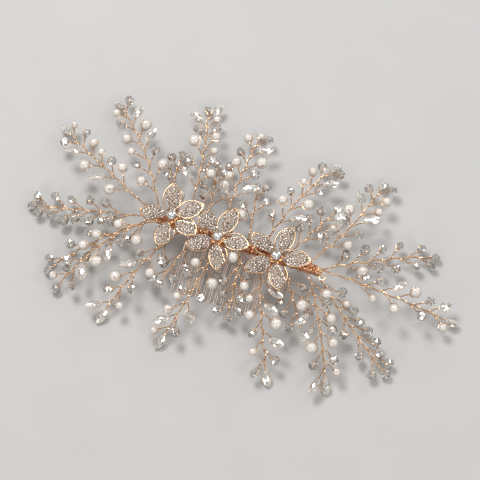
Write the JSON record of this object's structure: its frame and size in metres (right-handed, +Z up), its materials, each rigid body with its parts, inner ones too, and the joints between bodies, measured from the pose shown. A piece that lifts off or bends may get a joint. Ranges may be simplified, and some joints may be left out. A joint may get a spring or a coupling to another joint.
{
  "type": "decorative hair comb",
  "caption": "Bridal hair comb with pave flowers on a wound wire spine, hairpin wire teeth and a fan of wire sprays carrying pearls, crystals and marquise stones.",
  "frame": {"origin": "under the middle of the whole comb, on the surface it lies on face up", "axes": "+X along the spine, +Y away from the teeth, +Z up out of the flowers"},
  "size_m": [0.1882, 0.1142, 0.0186],
  "materials": {
    "rose_gold_wire": "polished rose gold plating",
    "copper_wrap_wire": "satin copper wire, close wound",
    "pave_stones": "small stones set close in plated metal",
    "clear_crystal": "cut and polished",
    "beaded_wire": "pearl and crystal beads on rose gold wire",
    "ivory_pearl": "pearlescent"
  },
  "bodies": {
    "root": {"comb_spine": "copper_wrap_wire", "flower_left_cup": "rose_gold_wire", "flower_left_frame": "rose_gold_wire", "flower_left_pave": "pave_stones", "flower_left_stone": "clear_crystal", "flower_middle_cup": "rose_gold_wire", "flower_middle_frame": "rose_gold_wire", "flower_middle_pave": "pave_stones", "flower_middle_stone": "clear_crystal", "flower_right_cup": "rose_gold_wire", "flower_right_frame": "rose_gold_wire", "flower_right_pave": "pave_stones", "flower_right_stone": "clear_crystal", "pearl_low_middle": "ivory_pearl", "pearl_low_right": "ivory_pearl", "pearl_top_left": "ivory_pearl", "pearl_top_middle": "ivory_pearl", "spray_left_a": "beaded_wire", "spray_left_b": "beaded_wire", "spray_left_c": "beaded_wire", "spray_left_d": "beaded_wire", "spray_low_e": "beaded_wire", "spray_low_f": "beaded_wire", "spray_low_g": "beaded_wire", "spray_low_h": "beaded_wire", "spray_low_i": "beaded_wire", "spray_low_j": "beaded_wire", "spray_right_k": "beaded_wire", "spray_right_l": "beaded_wire", "spray_right_m": "beaded_wire", "spray_right_n": "beaded_wire", "spray_right_o": "beaded_wire", "spray_top_p": "beaded_wire", "spray_top_q": "beaded_wire", "spray_top_r": "beaded_wire", "spray_top_s": "beaded_wire", "spray_top_t": "beaded_wire", "spray_top_u": "beaded_wire", "spray_top_v": "beaded_wire", "spray_top_w": "beaded_wire", "tooth_01": "rose_gold_wire", "tooth_02": "rose_gold_wire", "tooth_03": "rose_gold_wire", "tooth_04": "rose_gold_wire", "tooth_05": "rose_gold_wire", "tooth_06": "rose_gold_wire", "tooth_07": "rose_gold_wire", "tooth_08": "rose_gold_wire", "tooth_09": "rose_gold_wire", "tooth_10": "rose_gold_wire", "tooth_11": "rose_gold_wire", "tooth_12": "rose_gold_wire", "tooth_13": "rose_gold_wire", "tooth_14": "rose_gold_wire", "wrap_left": "copper_wrap_wire", "wrap_middle": "copper_wrap_wire", "wrap_right": "copper_wrap_wire"}
  },
  "joints": []
}
